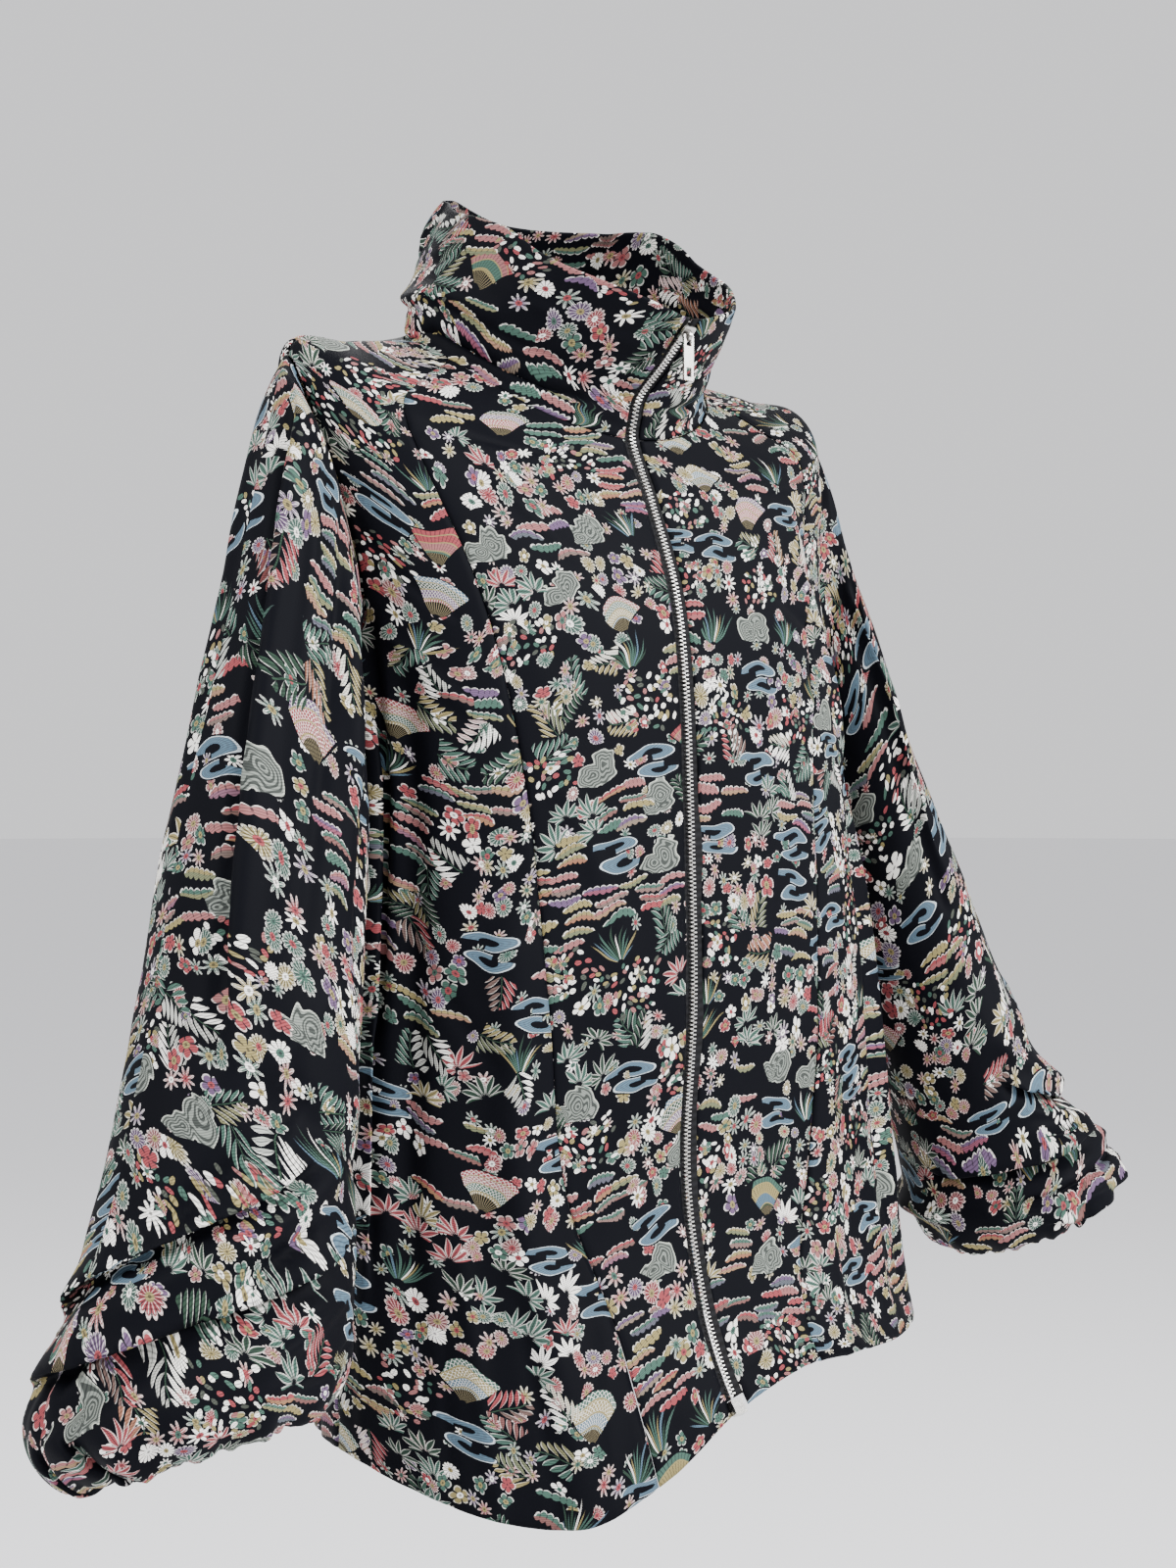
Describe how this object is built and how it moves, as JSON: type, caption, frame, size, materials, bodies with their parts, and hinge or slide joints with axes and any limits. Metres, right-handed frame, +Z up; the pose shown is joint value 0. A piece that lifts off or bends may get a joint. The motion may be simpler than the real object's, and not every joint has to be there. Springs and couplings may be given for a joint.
{
  "type": "zip-front kimono silk jacket",
  "caption": "Hip-length jacket of patterned black kimono silk with a full front zip, a slouchy funnel collar and wide sleeves with gathered ends, in its worn shape.",
  "frame": {"origin": "on the axis of the neck, level with the side of the collar seam, where the wearer carries the jacket", "axes": "+Z up, -Y towards the front of the wearer, -X towards the wearer's right hand"},
  "size_m": [0.8082, 0.2623, 0.7736],
  "materials": {
    "silk": "figured silk with a soft sheen",
    "zip_tape": "matte woven tape",
    "zip_metal": "polished nickel"
  },
  "bodies": {
    "garment": {"right_front_centre": "silk", "right_front_side": "silk", "back": "silk", "left_front_side": "silk", "left_front_centre": "silk", "collar": "silk", "right_sleeve": "silk", "left_sleeve": "silk", "zip_tape_right": "zip_tape", "zip_tape_left": "zip_tape", "zip_chain": "zip_metal", "zip_slider": "zip_metal", "zip_bottom_box": "zip_metal"},
    "pull_tab": {"zip_pull_tab": "zip_metal"}
  },
  "joints": [
    {"name": "pull_tab_hinge", "type": "hinge", "parent": "garment", "child": "pull_tab", "pos_m": [0, -0.09145, -0.00192], "axis": [1, 0, 0], "range_deg": [-120, 40]}
  ]
}
